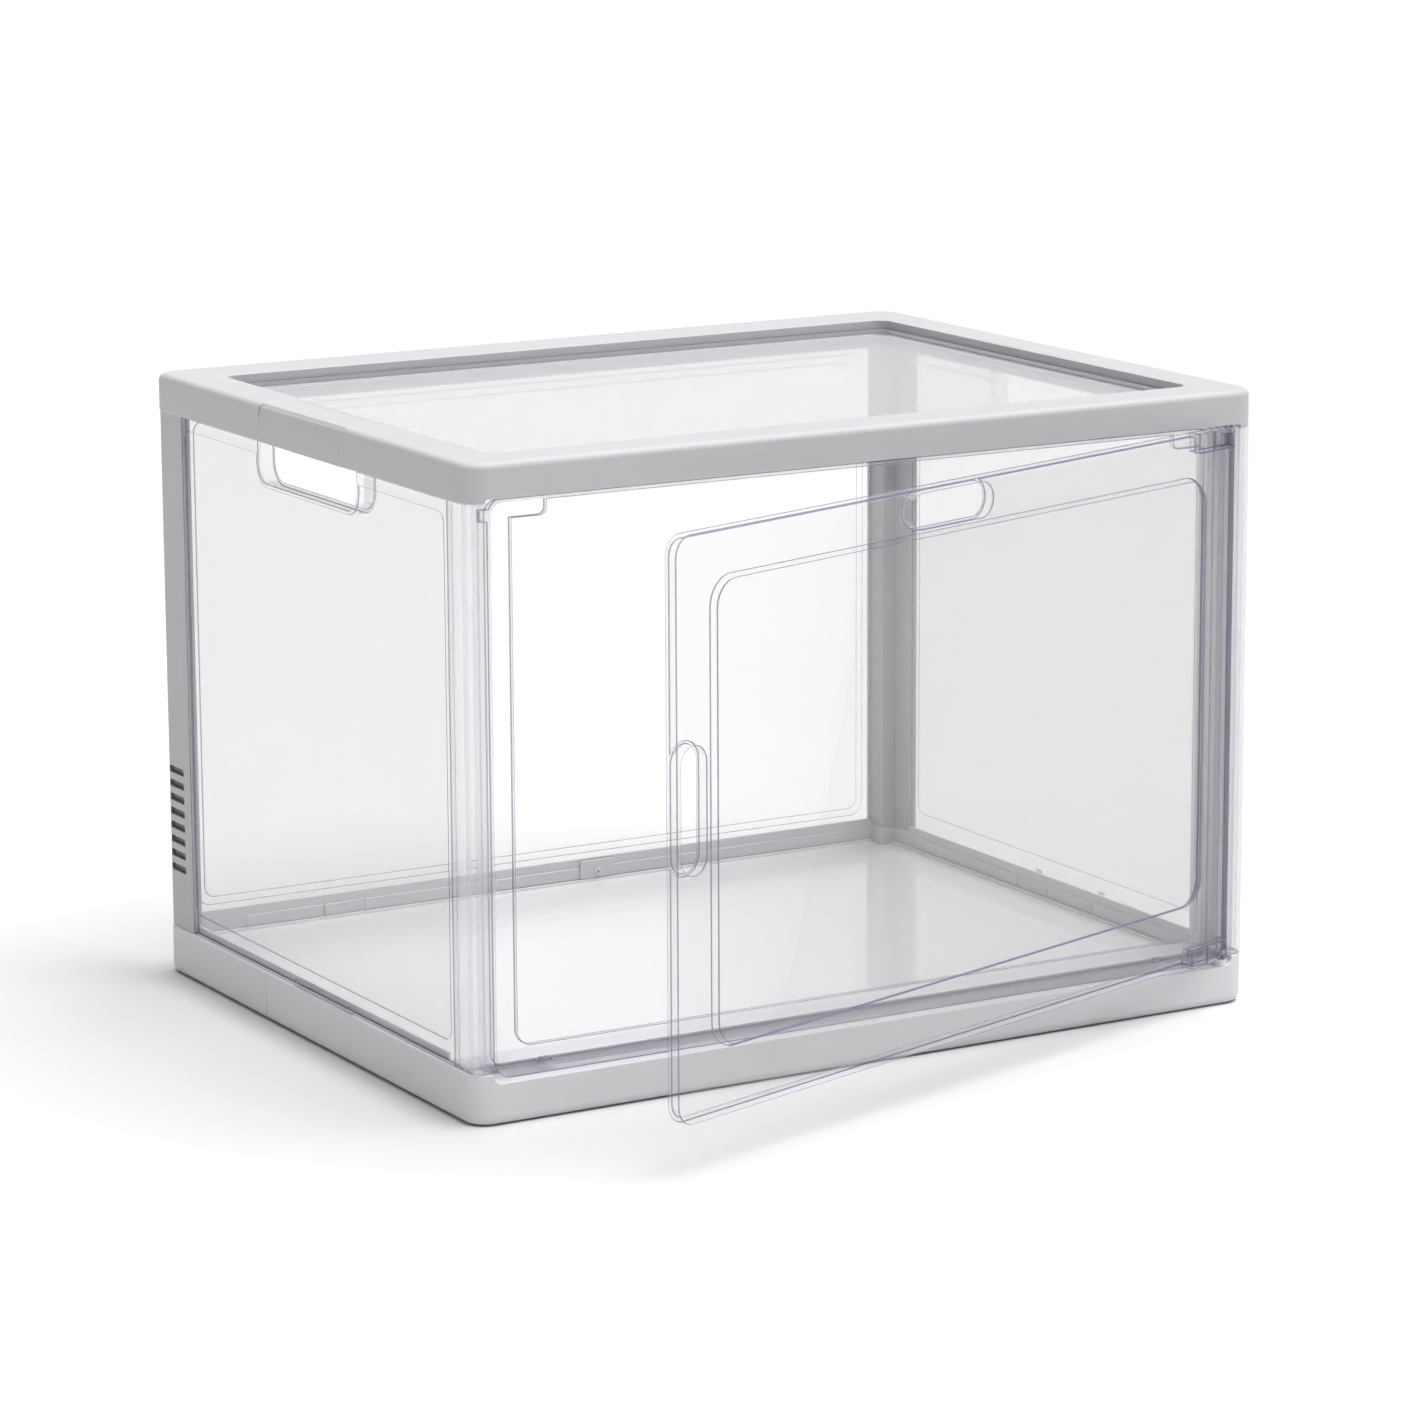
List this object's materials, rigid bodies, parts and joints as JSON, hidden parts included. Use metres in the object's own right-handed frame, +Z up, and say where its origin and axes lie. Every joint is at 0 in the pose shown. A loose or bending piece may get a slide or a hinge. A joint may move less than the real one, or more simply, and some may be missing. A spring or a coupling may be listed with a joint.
{
  "type": "shoe box",
  "caption": "Stackable box for shoes with clear walls, a clear window in its lid frame, grey base and lid frames, hand holes and a clear front door on a side hinge.",
  "frame": {"origin": "middle of the underside of the base, level with the surface it stands on", "axes": "+Z up, the door faces -Y, the door's hinge is on the +X side"},
  "size_m": [0.36, 0.3795, 0.255],
  "materials": {
    "grey_plastic": "satin moulded",
    "floor_sheet": "glossy",
    "clear_wall": "clear polished",
    "clear_door": "clear polished"
  },
  "bodies": {
    "box_body": {"base_tray": "grey_plastic", "floor_panel": "floor_sheet", "top_frame": "grey_plastic", "top_window": "clear_wall", "rear_panel": "clear_wall", "hinge_jamb": "grey_plastic", "front_frame": "clear_wall", "frame_clips": "clear_wall", "rear_lock_tab": "grey_plastic", "grip_cap_left": "grey_plastic", "grip_cap_right": "grey_plastic", "rear_post_left": "grey_plastic", "rear_post_right": "grey_plastic", "front_post_left": "clear_wall", "front_post_right": "clear_wall", "side_panel_left": "clear_wall", "side_panel_right": "clear_wall", "panel_clip_left": "clear_wall", "panel_clip_right": "clear_wall"},
    "door_leaf": {"door": "clear_door", "door_pivot_upper": "clear_door", "door_pivot_lower": "clear_door"}
  },
  "joints": [
    {"name": "door_hinge", "type": "hinge", "parent": "box_body", "child": "door_leaf", "pos_m": [0.16725, -0.13725, 0.13], "axis": [0, 0, 1], "range_deg": [-17.5, 87.5]}
  ]
}
